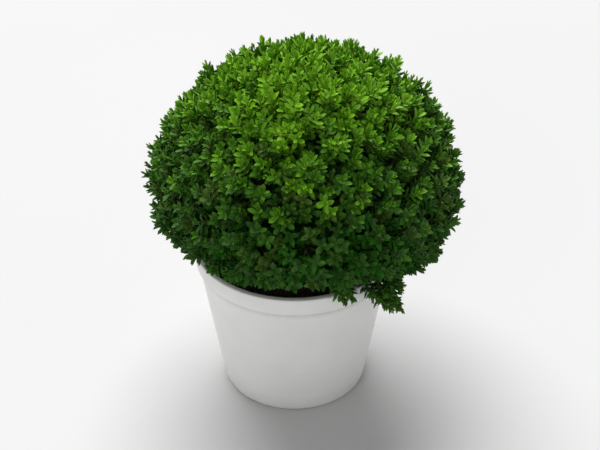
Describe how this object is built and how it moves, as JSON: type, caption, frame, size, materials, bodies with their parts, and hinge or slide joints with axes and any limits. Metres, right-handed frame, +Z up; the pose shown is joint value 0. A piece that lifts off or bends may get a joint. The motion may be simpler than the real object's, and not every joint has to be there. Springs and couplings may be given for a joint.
{
  "type": "emerald green hebe",
  "caption": "Compact evergreen shrub with a dense rounded crown of small paired leaves on short twigs, growing in a round plastic pot.",
  "frame": {"origin": "centre of the pot's flat underside, on the ground", "axes": "+Z up; -Y is the side that faces the camera in the picture; +X is to the right there"},
  "size_m": [0.1695, 0.174, 0.1922],
  "materials": {
    "pot_plastic": "off-white injection-moulded plastic, satin",
    "potting_soil": "moist dark peat compost",
    "bark": "thin grey-brown bark",
    "leaf_green": "small slightly glossy leaves, fresh green"
  },
  "bodies": {
    "root": {"pot": "pot_plastic", "potting_soil": "potting_soil", "main_stem": "bark", "bough_top": "bark", "bough_upper_1": "bark", "bough_upper_2": "bark", "bough_upper_3": "bark", "bough_upper_4": "bark", "bough_upper_5": "bark", "bough_lower_1": "bark", "bough_lower_2": "bark", "bough_lower_3": "bark", "bough_lower_4": "bark", "bough_lower_5": "bark", "bough_lower_6": "bark", "bough_lower_7": "bark", "bough_lower_8": "bark", "foliage_top": "leaf_green", "foliage_upper_1": "leaf_green", "foliage_upper_2": "leaf_green", "foliage_upper_3": "leaf_green", "foliage_upper_4": "leaf_green", "foliage_upper_5": "leaf_green", "foliage_lower_1": "leaf_green", "foliage_lower_2": "leaf_green", "foliage_lower_3": "leaf_green", "foliage_lower_4": "leaf_green", "foliage_lower_5": "leaf_green", "foliage_lower_6": "leaf_green", "foliage_lower_7": "leaf_green", "foliage_lower_8": "leaf_green"}
  },
  "joints": []
}
